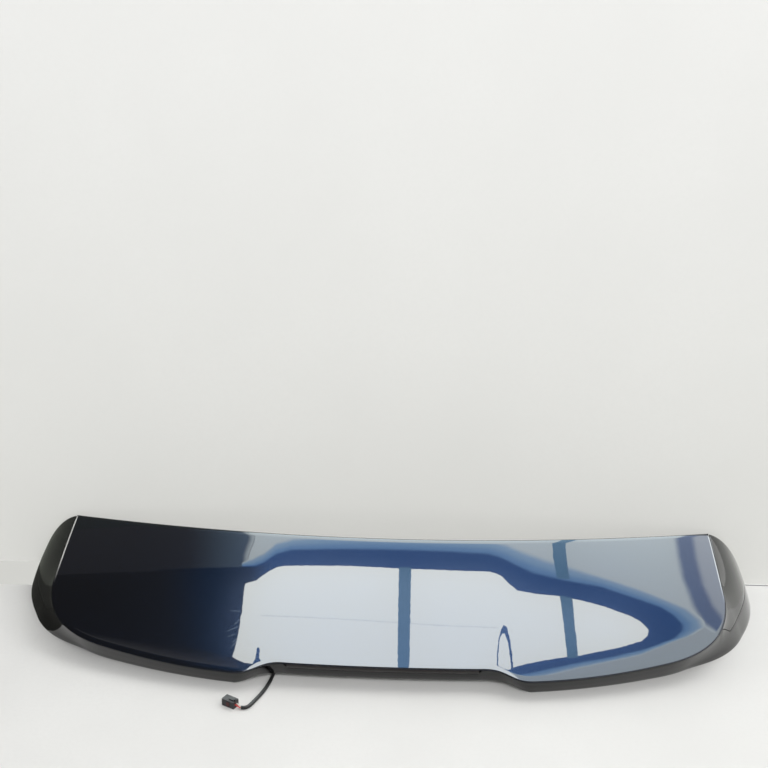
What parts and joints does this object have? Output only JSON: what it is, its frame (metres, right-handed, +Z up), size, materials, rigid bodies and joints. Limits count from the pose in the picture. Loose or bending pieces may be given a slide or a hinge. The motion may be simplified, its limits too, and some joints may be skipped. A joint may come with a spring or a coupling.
{
  "type": "car spoiler",
  "caption": "Rear roof-edge car spoiler with a dark blue painted skin, gloss-black lip and side blades, a high brake lamp in a notch and a short lamp lead.",
  "frame": {"origin": "Bottom centre of the bounding box without the lead: middle of the part across the car, halfway along it, at the lower edge of the rear lip", "axes": "+X across the car to the right in the rear view, +Y forward along the car towards the roof, +Z up; the part is symmetric about X = 0 apart from the lead"},
  "size_m": [1.26, 0.4138, 0.1119],
  "materials": {
    "paint": "dark blue metallic paint under clear coat",
    "gloss_black": "high gloss",
    "blade_black": "high gloss",
    "seal_rubber": "matt",
    "adhesive": "matt",
    "lens": "smoked, polished",
    "housing": "fine grain",
    "board": "solder mask",
    "diode": "satin",
    "spring_steel": "plain",
    "zinc_steel": "zinc plated",
    "foam": "closed-cell foam",
    "cable_black": "satin",
    "wire_red": "satin",
    "wire_white": "satin",
    "connector": "fine grain",
    "lock_red": "satin",
    "contact": "tinned brass"
  },
  "bodies": {
    "root": {"top_skin": "paint", "lower_shell": "gloss_black", "side_blade_left": "blade_black", "side_blade_right": "blade_black", "front_seal": "seal_rubber", "adhesive_bead": "adhesive", "lamp_lens": "lens", "lamp_housing": "housing", "lamp_board": "board", "lamp_leds": "diode", "lamp_clips": "spring_steel", "lamp_lead": "cable_black", "cable_grommet": "cable_black", "loom_sleeve": "cable_black", "loom_wire_red": "wire_red", "loom_wire_white": "wire_white", "connector_body": "connector", "connector_lock": "lock_red", "connector_pins": "contact", "fixing_studs": "zinc_steel", "stud_seals": "foam", "blade_screws": "zinc_steel", "bump_stops": "seal_rubber"}
  },
  "joints": []
}
